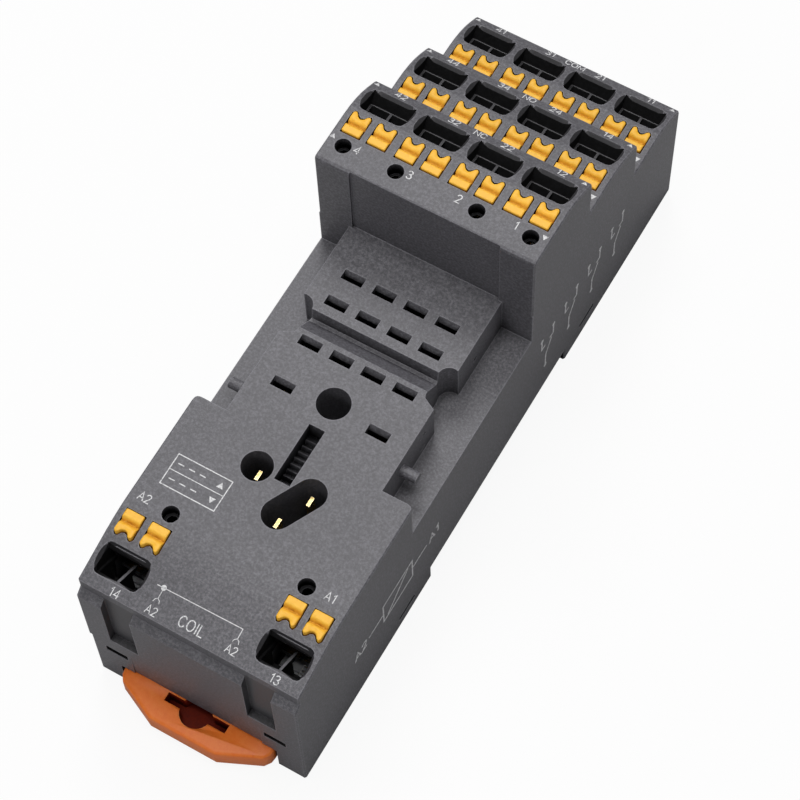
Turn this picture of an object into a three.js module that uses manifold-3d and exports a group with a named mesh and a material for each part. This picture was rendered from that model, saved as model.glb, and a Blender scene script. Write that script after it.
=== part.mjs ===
// Fourteen-pole plug-in relay socket for a 35 mm top-hat rail, with twin
// push-in terminals. Millimetres, +Z up off the rail.
// Origin: centre of the rail seat. +X runs across the poles from column 4 to
// column 1, +Y runs along the socket from the coil end to the COM end.

import * as THREE from 'three';
import { mergeVertices } from 'three/addons/utils/BufferGeometryUtils.js';
import Module from 'manifold-3d';

const wasm = await Module();
wasm.setup();

// ---------------------------------------------------------------- dimensions
const HALF_W = 15.1;            // half of the housing width
const WALL = 1.6;               // outer wall
const Y_FRONT = -48.5;          // apron face at the coil end
const Y_WALL = -47.5;           // end wall above the apron
const Z_BOT = -2.8;             // underside of the hooks
const Z_DECK = 25.3;            // relay seat
const Z_LEDGE = 18.8;           // ledges beside the relay seat
const Z_LIP = 23.05;            // lowest edge of the coil facet
const Y_COIL_BEND = -38.7;      // where the coil facet starts to fall
const Y_COIL_IN = -21.0;        // inner face of the coil block
const Y_TOWER = 7.9;            // front face of the terminal tower
const DECK_HALF = 10.8;         // half width of the relay seat
const RAIL_LO = -17.5;          // rail slot, 35 mm rail with play
const RAIL_HI = 17.7;
const TIER = [                  // NC, NO, COM: rear face and flat top
  { id: 'nc', rear: 22.2, top: 38.3, run: 8.0 },
  { id: 'no', rear: 34.9, top: 28.9, run: 5.6 },
  { id: 'com', rear: 47.6, top: 19.5, run: 3.2 },
];
const TIER_BEND = 4.3;          // length of the falling facet behind the flat
const TIER_DROP = 2.65;         // and how far it falls
const COLS = [-11.1, -3.7, 3.7, 11.1];   // terminal columns 4, 3, 2, 1
const BLADES = [-6.6, -2.2, 2.2, 6.6];   // relay blade columns, 4.4 mm pitch
const ROWS = [1.85, -2.2, -8.43, -14.8]; // relay blade rows: NC, NO, COM, coil
const SLOT_W = 2.92;            // blade slot across the blade
const SLOT_LO = -0.7;           // and its two edges along Y
const SLOT_HI = 0.25;
const BTN_HALF_PITCH = 1.77;    // two buttons per terminal
const BTN_GAP = 0.13;           // clearance round a button head
const BTN_TRAVEL = 1.8;         // press of a release button
const TOP_WALL = 2.45;          // roof over a clamp chamber
const CHAMBER = 3.28;           // half width of a clamp chamber
const TEST_R = 1.05;            // test probe hole
const CAV_TOP = 9.5;            // roof of the bus bar cavity
const CAV_BOT = 2.4;
const COVER_HALF = 13.3;        // half width of the bottom cover
const COVER_TOP = 2.1;
const FOOT_TOP = 1.7;           // rail foot plate
const FOOT_BOT = -1.5;
const FOOT_TRAVEL = 3.0;        // pull of the rail foot
const FOOT_SKIN = 0.7;          // floor of the tool recess in the rail foot
const TIER_ARC = 3.0;           // tangent length of the soft bend on a tier
const COIL_ARC = 2.5;           // and on the coil block
const CHAMFER = 0.2;            // chamfer along both flanks

// ------------------------------------------------------------------- helpers
function solid(geometry) {
  const g = geometry.clone();
  g.deleteAttribute('normal');
  g.deleteAttribute('uv');
  const m = mergeVertices(g, 1e-4);
  return new wasm.Manifold(new wasm.Mesh({
    numProp: 3,
    vertProperties: new Float32Array(m.attributes.position.array),
    triVerts: new Uint32Array(m.index.array),
  }));
}

function geometryOf(manifold) {
  const mesh = manifold.getMesh();
  const g = new THREE.BufferGeometry();
  const p = new Float32Array(mesh.numVert * 3);
  for (let i = 0; i < mesh.numVert; i++) {
    for (let k = 0; k < 3; k++) p[3 * i + k] = mesh.vertProperties[mesh.numProp * i + k];
  }
  g.setAttribute('position', new THREE.BufferAttribute(p, 3));
  g.setIndex(new THREE.BufferAttribute(new Uint32Array(mesh.triVerts), 1));
  return g;
}

const shapeOf = (pts) => new THREE.Shape(pts.map(([a, b]) => new THREE.Vector2(a, b)));

function ccw(pts) {
  return THREE.ShapeUtils.area(pts.map(([a, b]) => new THREE.Vector2(a, b))) < 0
    ? pts.slice().reverse() : pts;
}

// prism of an XY outline between two heights
function prismXY(pts, z0, z1) {
  const g = new THREE.ExtrudeGeometry(shapeOf(ccw(pts)), { depth: z1 - z0, bevelEnabled: false });
  g.translate(0, 0, z0);
  return solid(g);
}

// prism of a YZ outline between two X positions
function prismYZ(pts, x0, x1) {
  const g = new THREE.ExtrudeGeometry(shapeOf(ccw(pts)), { depth: x1 - x0, bevelEnabled: false });
  g.applyMatrix4(new THREE.Matrix4().set(0, 0, 1, x0, 1, 0, 0, 0, 0, 1, 0, 0, 0, 0, 0, 1));
  return solid(g);
}

// the same with a chamfer of size c round both ends
function chamferedYZ(pts, x0, x1, c) {
  const g = new THREE.ExtrudeGeometry(shapeOf(ccw(pts)), {
    depth: x1 - x0 - 2 * c, bevelEnabled: true, bevelThickness: c, bevelSize: c, bevelOffset: -c, bevelSegments: 1,
  });
  g.applyMatrix4(new THREE.Matrix4().set(0, 0, 1, x0 + c, 1, 0, 0, 0, 0, 1, 0, 0, 0, 0, 0, 1));
  return solid(g);
}

// prism of an XZ outline between two Y positions
function prismXZ(pts, y0, y1) {
  const g = new THREE.ExtrudeGeometry(shapeOf(ccw(pts)), { depth: y1 - y0, bevelEnabled: false });
  g.applyMatrix4(new THREE.Matrix4().set(1, 0, 0, 0, 0, 0, -1, y1, 0, 1, 0, 0, 0, 0, 0, 1));
  return solid(g);
}

function box(x0, x1, y0, y1, z0, z1) {
  const g = new THREE.BoxGeometry(x1 - x0, y1 - y0, z1 - z0);
  g.translate((x0 + x1) / 2, (y0 + y1) / 2, (z0 + z1) / 2);
  return solid(g);
}

function post(x, y, r, z0, z1, seg = 16) {
  const g = new THREE.CylinderGeometry(r, r, z1 - z0, seg);
  g.rotateX(Math.PI / 2);
  g.translate(x, y, (z0 + z1) / 2);
  return solid(g);
}

function rodX(y, z, r, x0, x1, seg = 16) {
  const g = new THREE.CylinderGeometry(r, r, x1 - x0, seg);
  g.rotateZ(Math.PI / 2);
  g.translate((x0 + x1) / 2, y, z);
  return solid(g);
}

function join(list) {
  return list.reduce((a, b) => a.add(b));
}

// Soft bend between a flat top and a falling facet. (y, z) points of an arc
// with tangent length t, for a bend at (y0, z0) that falls by ang along dir.
function bend(y0, z0, ang, t, dir, n) {
  const r = t / Math.tan(ang / 2), pts = [];
  for (let i = 0; i <= n; i++) {
    const a = (ang * i) / n;
    pts.push([y0 + dir * (-t + r * Math.sin(a)), z0 - r * (1 - Math.cos(a))]);
  }
  return pts;
}

// YZ mirror of a point list for the coil end, where terminals face -Y
const unitY = (rear, dir) => (u) => rear + dir * u;

const TIER_ANG = Math.atan2(TIER_DROP, TIER_BEND);
const COIL_ANG = Math.atan2(Z_DECK - Z_LIP, Y_COIL_BEND - Y_WALL);
const tierBend = (t) => bend(t.rear - TIER_BEND, t.top, TIER_ANG, TIER_ARC, 1, 4).reverse();

// -------------------------------------------------------------- terminal unit
// A unit is one twin terminal. u is measured along Y from the outer face
// (negative inwards), w is measured down from the flat top.
function unitOf(tier, dir) {
  if (dir > 0) {
    return {
      dir, rear: tier.rear, top: tier.top, run: tier.run,
      ang: TIER_ANG, bendU: -TIER_BEND, pocketS: 1.3, btnU: -7.93,
    };
  }
  return {
    dir, rear: Y_WALL, top: Z_DECK, run: 8.0,
    ang: COIL_ANG, bendU: Y_WALL - Y_COIL_BEND,
    pocketS: 5.3, btnU: -8.2,
  };
}
const UNITS = [];
TIER.forEach((t, ti) => COLS.forEach((x, ci) => {
  UNITS.push({ ...unitOf(t, 1), x, name: `${4 - ci}${[2, 4, 1][ti]}`, row: ti, col: ci });
}));
UNITS.push({ ...unitOf(null, -1), x: COLS[0], name: 'a2', row: 3, col: 0 });
UNITS.push({ ...unitOf(null, -1), x: COLS[3], name: 'a1', row: 3, col: 3 });

// places a cutter drawn in (x, s, n) on a unit's falling facet:
// s along the facet outwards from the bend, n along its outward normal
function onFacet(geometry, un) {
  const c = Math.cos(un.ang), s = Math.sin(un.ang);
  const m = new THREE.Matrix4();
  if (un.dir > 0) {
    m.set(1, 0, 0, un.x, 0, c, s, un.rear + un.bendU, 0, -s, c, un.top, 0, 0, 0, 1);
  } else {
    m.set(-1, 0, 0, un.x, 0, -c, -s, un.rear - un.bendU, 0, -s, c, un.top, 0, 0, 0, 1);
  }
  geometry.applyMatrix4(m);
  return solid(geometry);
}

// Outline of a pocket mouth in (x, s): bulging ends and rounded corners.
const END = [[2.3, 1], [2.72, 0.94], [3.02, 0.81], [3.24, 0.58], [3.36, 0.3], [3.4, 0]];
function mouthOutline(near, far, k) {
  const mid = (near + far) / 2, h = (far - near) / 2, side = [];
  for (const [x, t] of END) side.push([x - k, mid + h * t]);
  for (const [x, t] of END.slice(0, -1).reverse()) side.push([x - k, mid - h * t]);
  return [...side, ...side.slice().reverse().map(([x, v]) => [-x, v])];
}

// an (s, n) outline swept across the pocket
function sweepX(pts, half) {
  const g = new THREE.ExtrudeGeometry(shapeOf(ccw(pts)), { depth: 2 * half, bevelEnabled: false });
  g.applyMatrix4(new THREE.Matrix4().set(0, 0, 1, -half, 1, 0, 0, 0, 0, 1, 0, 0, 0, 0, 0, 1));
  return g;
}

// Wire pocket. The ends and the outer side of the mouth are chamfered. On a
// tier the side next to the buttons is straight, on the coil block it has a
// wide lead-in. The floor falls away from the outer side, with a rib between
// the two wire holes.
function pocketCutter(un) {
  const s0 = un.pocketS, tier = un.dir > 0;
  const near = s0 - (tier ? 2.36 : 2.1), far = s0 + 2.1;
  const wall = tier ? s0 + 1.8 : far;
  // depth of the soft bend below the plane of the facet
  const arc = tier ? TIER_ARC : COIL_ARC;
  const r = arc / Math.tan(un.ang / 2);
  const n0 = (v) => (v >= arc ? 0 : -(r - Math.sqrt(r * r - (arc - v) * (arc - v))));
  const pts = [];
  for (const [x, v] of mouthOutline(near, far, 0)) pts.push([x, v, n0(v) + 0.02], [x, v, 3]);
  for (const [x, v] of mouthOutline(near + (tier ? 0.1 : 0.3), far - 0.3, 0.45)) pts.push([x, v, n0(v) - 0.5]);
  const c = Math.cos(un.ang), sn = Math.sin(un.ang);
  const map = tier
    ? ([x, v, n]) => [un.x + x, un.rear + un.bendU + v * c + n * sn, un.top - v * sn + n * c]
    : ([x, v, n]) => [un.x - x, un.rear - un.bendU - v * c - n * sn, un.top - v * sn + n * c];
  const mouth = wasm.Manifold.hull(pts.map(map));
  const throat = onFacet(sweepX(tier
    ? [[wall, 3], [wall, -2.05], [s0 - 0.62, -2.99], [s0 - 2.64, -0.37], [s0 - 2.64, 3]]
    : [[wall, 3], [wall, -1.2], [s0 - 1.25, -4.8], [s0 - 1.25, -1.1], [s0 - 2.1, 0], [s0 - 2.1, 0.3], [s0 - 1.25, 3]], 2.95), un);
  const outline = new THREE.ExtrudeGeometry(shapeOf(ccw(mouthOutline(near, far, 0))), { depth: 13, bevelEnabled: false });
  outline.translate(0, 0, -9);
  const bound = onFacet(outline, un);
  const parts = [mouth, throat.intersect(bound)];
  const h0 = s0 - 1.25, h1 = tier ? s0 + 1.68 : s0 + 1.75;
  for (const side of [-1, 1]) {
    const hole = new THREE.BoxGeometry(2.5, h1 - h0, 6.9);
    hole.translate(side * (0.16 + 1.25), (h0 + h1) / 2, -1.2 - 3.45);
    parts.push(onFacet(hole, un).intersect(bound));
  }
  return join(parts);
}

// outline of a button head, notch towards +y
const HEAD = [
  [-1.25, -1.63], [1.25, -1.63], [1.25, 1.3], [1.02, 1.6], [0.74, 1.5], [0.44, 1.07], [0, 0.9],
  [-0.44, 1.07], [-0.74, 1.5], [-1.02, 1.6], [-1.25, 1.3],
];
const G = BTN_GAP;
const HEAD_HOLE = [
  [-1.25 - G, -1.63 - G], [1.25 + G, -1.63 - G], [1.25 + G, 1.34], [1.02 + G / 2, 1.6 + G],
  [0.74 - G / 2, 1.5 + G], [0.44 - G / 2, 1.07 + G], [0, 0.9 + G], [-0.44 + G / 2, 1.07 + G],
  [-0.74 + G / 2, 1.5 + G], [-1.02 - G / 2, 1.6 + G], [-1.25 - G, 1.34],
];
const place = (pts, x, y, dir) => pts.map(([a, b]) => [x + a, y + dir * b]);

function unitCuts(un) {
  const y = unitY(un.rear, un.dir);
  const span = (a, b) => [Math.min(y(a), y(b)), Math.max(y(a), y(b))];
  const cuts = [pocketCutter(un)];
  for (const side of [-1, 1]) {
    cuts.push(prismXY(place(HEAD_HOLE, un.x + side * BTN_HALF_PITCH, y(un.btnU), un.dir),
      un.top - TOP_WALL - 0.1, un.top + 0.6));
  }
  const [a0, a1] = span(-10.7, -5.9);
  cuts.push(box(un.x - CHAMBER, un.x + CHAMBER, a0, a1, un.top - 6.2, un.top - TOP_WALL));
  const [b0, b1] = span(-10.7, -4.6);
  cuts.push(box(un.x - CHAMBER, un.x + CHAMBER, b0, b1, CAV_BOT, un.top - 6.1));
  return cuts;
}

// ------------------------------------------------------------------- housing
function makeHousing() {
  const t = TIER;
  const outline = [
    [Y_FRONT, Z_BOT], [RAIL_LO, Z_BOT], [RAIL_LO, 0], [RAIL_HI, 0], [RAIL_HI, Z_BOT],
    [t[2].rear, Z_BOT],
    [t[2].rear, t[2].top - TIER_DROP], ...tierBend(t[2]), [t[1].rear, t[2].top],
    [t[1].rear, t[1].top - TIER_DROP], ...tierBend(t[1]), [t[0].rear, t[1].top],
    [t[0].rear, t[0].top - TIER_DROP], ...tierBend(t[0]),
    [Y_TOWER + 0.5, t[0].top], [Y_TOWER + 0.15, t[0].top - 0.15], [Y_TOWER, t[0].top - 0.5], [Y_TOWER, Z_DECK],
    ...bend(Y_COIL_BEND, Z_DECK, COIL_ANG, COIL_ARC, -1, 3), [Y_WALL, Z_LIP], [Y_WALL, 21.0], [Y_FRONT, 20.1],
  ];
  let body = chamferedYZ(outline, -HALF_W, HALF_W, CHAMFER);
  const cuts = [];

  // ledges beside the relay seat
  for (const s of [-1, 1]) {
    const x0 = s < 0 ? -HALF_W - 1 : DECK_HALF, x1 = s < 0 ? -DECK_HALF : HALF_W + 1;
    cuts.push(box(x0, x1, Y_COIL_IN, Y_TOWER, Z_LEDGE, Z_DECK + 1));
  }
  // rounded inner corners of the coil block
  for (const s of [-1, 1]) {
    const r = 0.8, pts = [[s * (HALF_W + 0.5), Y_COIL_IN + 0.5], [s * (HALF_W - r), Y_COIL_IN + 0.5]];
    for (let i = 0; i <= 3; i++) {
      const a = (Math.PI / 2) * (1 - i / 3);
      pts.push([s * (HALF_W - r + r * Math.cos(a)), Y_COIL_IN - r + r * Math.sin(a)]);
    }
    pts.push([s * (HALF_W + 0.5), Y_COIL_IN - r]);
    cuts.push(prismXY(pts, Z_LEDGE, Z_DECK + 1));
  }
  // shallow centre panel of the tower face
  cuts.push(box(-10.3, 10.3, Y_TOWER - 1, Y_TOWER + 0.3, Z_DECK, t[0].top + 1));

  // cross groove between the blade rows, with half-round ends and cut corners
  cuts.push(prismYZ([[-4.2, Z_DECK + 0.3], [-4.2, Z_DECK], [-4.5, Z_DECK - 1.9], [-5.0, Z_DECK - 1.9],
    [-7.1, Z_DECK], [-7.1, Z_DECK + 0.3]], -DECK_HALF - 1, DECK_HALF + 1));
  for (const s of [-1, 1]) {
    cuts.push(post(s * 10.4, -4.4, 1.55, Z_LEDGE, Z_DECK + 1, 24));
    cuts.push(prismXY([[s * 8.95, -4.9], [s * 11.9, -4.4], [s * 11.9, -8.8], [s * 10.8, -8.8], [s * 9.8, -8.3],
      [s * 9.15, -7.95], [s * 8.95, -7.5]], Z_LEDGE, Z_DECK + 1));
  }

  // blade slots with a lead-in on the +Y edge, and contact wells below
  ROWS.forEach((yr, ri) => {
    const xs = ri === 3 ? [BLADES[0], BLADES[3]] : BLADES;
    for (const x of xs) {
      cuts.push(box(x - SLOT_W / 2, x + SLOT_W / 2, yr + SLOT_LO, yr + SLOT_HI, 22.5, Z_DECK + 1));
      cuts.push(prismYZ([[yr + SLOT_HI - 0.1, Z_DECK - 0.85], [yr + SLOT_HI, Z_DECK - 0.85],
        [yr + 0.72, Z_DECK], [yr + 0.72, Z_DECK + 0.4], [yr + SLOT_HI - 0.1, Z_DECK + 0.4]],
      x - SLOT_W / 2, x + SLOT_W / 2));
      cuts.push(box(x - 1.6, x + 1.6, yr - 1.5, yr + 1.35, CAV_TOP - 0.5, 23.3));
    }
  });

  // relay seat openings
  cuts.push(post(0, -14.0, 2.15, 12.0, Z_DECK + 1, 28));
  cuts.push(post(-3.7, -25.5, 2.0, CAV_TOP - 0.5, Z_DECK + 1, 28));
  {
    const p = [1.6, -29.6], q = [3.7, -25.5], r = 2.0, pts = [];
    const dir = Math.atan2(q[1] - p[1], q[0] - p[0]);
    for (let i = 0; i <= 12; i++) {
      const a = dir - Math.PI / 2 + (Math.PI * i) / 12;
      pts.push([q[0] + r * Math.cos(a), q[1] + r * Math.sin(a)]);
    }
    for (let i = 0; i <= 12; i++) {
      const a = dir + Math.PI / 2 + (Math.PI * i) / 12;
      pts.push([p[0] + r * Math.cos(a), p[1] + r * Math.sin(a)]);
    }
    cuts.push(prismXY(pts, CAV_TOP - 0.5, Z_DECK + 1));
  }
  // ratchet slot: a long trough with a toothed floor
  {
    const pts = [[-17.7, Z_DECK + 0.5], [-25.9, Z_DECK + 0.5], [-25.9, Z_DECK - 3.0]];
    for (let i = 0; i < 8; i++) {
      pts.push([-25.4 + i * 0.9, Z_DECK - 3.0]);
      pts.push([-25.4 + i * 0.9 + 0.35, Z_DECK - 2.35]);
    }
    pts.push([-17.7, Z_DECK - 3.0]);
    cuts.push(prismYZ(pts, -1.15, 1.0));
  }

  // small windows in the seat's side walls
  for (const s of [-1, 1]) {
    const a = s > 0 ? DECK_HALF - 0.6 : -DECK_HALF - 1, b = s > 0 ? DECK_HALF + 1 : -DECK_HALF + 0.6;
    cuts.push(box(a, b, -12.1, -10.85, 22.7, 23.1));
    cuts.push(box(a, b, -12.1, -10.85, 19.6, 20.0));
    cuts.push(box(a, b, 0.9, 1.7, 21.1, 21.7));
  }

  // test probe holes on the NC tier and the coil block
  for (const x of [-12.8, -5.54, 5.54, 12.8]) {
    cuts.push(post(x, 10.9, TEST_R, t[0].top - 2.1, t[0].top + 1, 18));
    cuts.push(post(x, 10.9, 0.7, t[0].top - 9, t[0].top - 2.0, 10));
  }
  for (const x of [-9.3, 9.3]) {
    cuts.push(post(x, -35.8, TEST_R + 0.05, Z_DECK - 2.1, Z_DECK + 1, 18));
    cuts.push(post(x, -35.8, 0.7, Z_DECK - 9, Z_DECK - 2.0, 10));
  }

  // terminal units
  for (const un of UNITS) cuts.push(...unitCuts(un));

  // bus bar cavity: one room under the relay seat, four lanes under the tower
  cuts.push(box(-HALF_W + WALL, HALF_W - WALL, Y_FRONT + 1.9, 9.0, Z_BOT - 1, CAV_TOP));
  for (const x of COLS) {
    const out = Math.abs(x) > 8;
    const x0 = x > 0 ? x - CHAMBER : (out ? -HALF_W + WALL : x - CHAMBER);
    const x1 = x < 0 ? x + CHAMBER : (out ? HALF_W - WALL : x + CHAMBER);
    cuts.push(box(x0, x1, 8.9, 46.0, CAV_BOT - 0.2, CAV_TOP));
  }
  cuts.push(box(-HALF_W + WALL, HALF_W - WALL, 8.9, 46.0, Z_BOT - 1, CAV_BOT));

  // coil end: two channels in the apron, raked band, foot opening, snap windows
  for (const s of [-1, 1]) {
    const x0 = s > 0 ? 7.7 : -11.7, x1 = s > 0 ? 11.7 : -7.7;
    cuts.push(box(x0, x1, Y_FRONT - 1, Y_WALL, 9.9, 21.5));
    const w0 = s > 0 ? 9.7 : -12.8, w1 = s > 0 ? 12.8 : -9.7;
    cuts.push(box(w0, w1, Y_FRONT - 1, Y_FRONT + 2.2, 5.45, 6.85));
  }
  cuts.push(prismYZ([[Y_FRONT - 0.5, 7.9], [Y_FRONT, 7.9], [Y_FRONT + 0.2, 1.5], [Y_FRONT - 0.5, 1.5]], -9.2, 9.2));
  cuts.push(box(-11.2, 11.2, Y_FRONT - 1, Y_FRONT + 2.2, Z_BOT - 1, 2.0));
  // relief of the lower left flank at the coil end
  cuts.push(box(-HALF_W - 1, -HALF_W + 0.55, Y_FRONT - 1, -17.0, Z_BOT - 1, 8.4));

  // snap windows low in the side walls
  for (const s of [-1, 1]) {
    const a = s > 0 ? HALF_W - 2.2 : -HALF_W - 1, b = s > 0 ? HALF_W + 1 : -HALF_W + 2.2;
    cuts.push(box(a, b, -25.5, -21.7, -0.9, -0.1));
    cuts.push(box(a, b, 21.7, 25.6, -0.45, 0.35));
  }

  for (const c of cuts) body = body.subtract(c);

  // pivot pins for the relay retaining clip
  for (const s of [-1, 1]) {
    const a = s > 0 ? DECK_HALF - 0.5 : -13.1, b = s > 0 ? 13.1 : -DECK_HALF + 0.5;
    body = body.add(rodX(-16.6, 22.8, 0.75, a, b, 16));
  }
  return body;
}

// -------------------------------------------------------------- bottom cover
function makeCover() {
  let body = box(-COVER_HALF, COVER_HALF, -46.3, 45.8, 0, COVER_TOP);
  const rear = box(-COVER_HALF, COVER_HALF, RAIL_HI, 45.8, Z_BOT, 0.5);
  const hook = prismYZ([[RAIL_HI + 0.5, Z_BOT], [16.6, Z_BOT], [16.6, -1.9], [17.0, -1.35], [RAIL_HI + 0.5, -1.35]], -11.5, 11.5);
  const front = box(-COVER_HALF, COVER_HALF, -46.3, RAIL_LO, Z_BOT, 0.5);
  const roof = box(-9.2, 9.2, -46.3, -17.0, COVER_TOP - 0.5, 3.4);
  body = join([body, rear, hook, front, roof]);
  const cuts = [];
  // lightening pockets under the rear block
  for (const x of [-9.6, -3.2, 3.2, 9.6]) {
    cuts.push(box(x - 2.7, x + 2.7, 20.0, 31.0, Z_BOT - 1, 0.6));
    cuts.push(box(x - 2.7, x + 2.7, 32.4, 43.8, Z_BOT - 1, 0.6));
  }
  // channel of the rail foot, open below between two guide rails
  cuts.push(box(-7.8, 7.8, -47, RAIL_LO + 1, FOOT_BOT - 0.3, FOOT_TOP + 0.3));
  cuts.push(box(-5.1, 5.1, -47, RAIL_LO + 1, Z_BOT - 1, 0));
  cuts.push(box(-11.5, 11.5, -47, -45.5, Z_BOT - 1, FOOT_TOP + 0.3));
  // shallow reliefs at both edges of the rail seat
  cuts.push(box(-14, 14, 15.5, RAIL_HI, -0.6, 0.3), box(-14, 14, RAIL_LO, -15.5, -0.6, 0.3));
  for (const c of cuts) body = body.subtract(c);
  // spring abutment hanging in the channel
  body = body.add(box(-1.2, 1.2, -32.6, -31.6, -0.8, FOOT_TOP + 0.8));
  // snap tabs behind the end wall, and barbs in the side windows
  for (const s of [-1, 1]) {
    const t0 = s > 0 ? 10.0 : -12.5, t1 = s > 0 ? 12.5 : -10.0;
    body = body.add(prismYZ([[-46.2, 1.5], [-45.2, 1.5], [-45.2, 6.9], [-46.2, 6.9], [-47.3, 6.4], [-47.3, 5.9], [-46.2, 5.9]], t0, t1));
    for (const [y0, y1] of [[-25.2, -22.0], [22.0, 25.3]]) {
      const a = s > 0 ? COVER_HALF - 0.3 : -14.3, b = s > 0 ? 14.3 : -COVER_HALF + 0.3;
      body = body.add(box(a, b, y0, y1, y0 < 0 ? -0.7 : -0.25, y0 < 0 ? -0.3 : 0.15));
    }
  }
  return body;
}

// ------------------------------------------------------------------ rail foot
function makeFoot() {
  const plate = prismXY([
    [-4.75, -52.5], [4.75, -52.5], [10.1, -50.05], [10.7, -49.2], [10.8, -48.4], [10.8, -46.7], [7.5, -46.7],
    [7.5, -19.0], [-7.5, -19.0], [-7.5, -46.7], [-10.8, -46.7], [-10.8, -48.4], [-10.7, -49.2], [-10.1, -50.05],
  ], FOOT_BOT, FOOT_TOP);
  const nose = prismYZ([[-23.2, FOOT_BOT + 0.2], [-23.2, -2.7], [-17.2, -2.7], [-16.3, -2.1], [-16.3, -1.4], [-19.0, -1.4],
    [-19.0, FOOT_BOT + 0.2]], -4.8, 4.8);
  let foot = plate.add(nose);
  foot = foot.subtract(post(0, -49.1, 2.1, FOOT_BOT + FOOT_SKIN, FOOT_TOP + 1, 28));
  foot = foot.subtract(box(-4.3, 4.4, -49.6, -48.5, FOOT_BOT + FOOT_SKIN, FOOT_TOP + 1));
  foot = foot.subtract(box(-1.7, 1.7, -33.0, -23.3, FOOT_BOT - 1, FOOT_TOP + 1));
  return foot;
}

class Helix extends THREE.Curve {
  constructor(r, y0, y1, z, turns) { super(); Object.assign(this, { r, y0, y1, zc: z, turns }); }
  getPoint(t, target = new THREE.Vector3()) {
    const a = 2 * Math.PI * this.turns * t;
    return target.set(this.r * Math.cos(a), this.y0 + (this.y1 - this.y0) * t, this.zc + this.r * Math.sin(a));
  }
}

function makeFootSpring() {
  const wire = [];
  for (let i = 0; i < 5; i++) wire.push([0.2 * Math.cos((2 * Math.PI * i) / 5), 0.2 * Math.sin((2 * Math.PI * i) / 5)]);
  const g = new THREE.ExtrudeGeometry(shapeOf(wire), {
    steps: 54, bevelEnabled: false, extrudePath: new Helix(0.95, -31.25, -23.65, 0.3, 6),
  });
  return solid(g);
}

// -------------------------------------------------------------------- buttons
// A release button: shaped head, a shoulder that keeps it in, and a stem that
// pushes the clamp spring.
function makeButton() {
  const outline = prismXY(HEAD, -3.3, 0.6);
  const profile = prismYZ([
    [-1.9, -3.3], [1.9, -3.3], [1.9, 0.1], [1.3, 0.1], [0.06, -0.2], [-0.14, -0.36],
    [-0.34, -0.03], [-0.7, 0.27], [-1.35, 0.27], [-1.63, 0.0], [-1.9, 0.0],
  ], -2, 2);
  const head = outline.intersect(profile);
  const shoulder = box(-1.36, 1.36, -2.2, 1.3, -3.5, -2.75);
  const stem = box(-0.75, 0.75, -1.3, -0.35, -10.2, -3.4);
  return join([head, shoulder, stem]);
}

// --------------------------------------------------------------- clamp spring
function ribbon(points, half, x) {
  // strip of constant thickness along a YZ polyline
  const left = [], right = [];
  for (let i = 0; i < points.length; i++) {
    const a = points[Math.max(i - 1, 0)], b = points[Math.min(i + 1, points.length - 1)];
    const dx = b[0] - a[0], dy = b[1] - a[1], l = Math.hypot(dx, dy);
    left.push([points[i][0] - (dy / l) * half, points[i][1] + (dx / l) * half]);
    right.unshift([points[i][0] + (dy / l) * half, points[i][1] - (dx / l) * half]);
  }
  return prismYZ([...left, ...right], x[0], x[1]);
}

function makeSpring(un) {
  const y = unitY(un.rear, un.dir);
  const path = [[-5.3, -12.6], [-8.6, -12.6], [-9.1, -12.45], [-9.32, -12.05], [-9.2, -11.65], [-8.8, -11.3],
    [-6.9, -9.9], [-6.3, -9.25]].map(([u, w]) => [y(u), un.top + w]);
  let s = ribbon(path, 0.17, [un.x - 2.7, un.x + 2.7]);
  // the upper leg is split into two tongues, one per wire
  const y0 = Math.min(y(-9.0), y(-5.5)), y1 = Math.max(y(-9.0), y(-5.5));
  s = s.subtract(box(un.x - 0.25, un.x + 0.25, y0, y1, un.top - 11.5, un.top - 8));
  return s;
}

// --------------------------------------------------------------- contact bars
// Relay fork, riser, run along the lane, riser and clamp plate.
function fork(x, yr) {
  const yc = yr - 0.22;
  const leaf = (d) => prismYZ([
    [yc + d * 0.62, 12.4], [yc + d * 0.3, 19.6], [yc + d * 0.32, 21.2], [yc + d * 0.75, 22.3],
    [yc + d * 1.1, 22.2], [yc + d * 0.72, 21.1], [yc + d * 0.68, 19.6], [yc + d * 1.02, 12.4],
  ], x - 1.15, x + 1.15);
  return join([leaf(-1), leaf(1), box(x - 1.15, x + 1.15, yc - 1.02, yc + 1.02, 11.6, 12.5)]);
}

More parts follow.
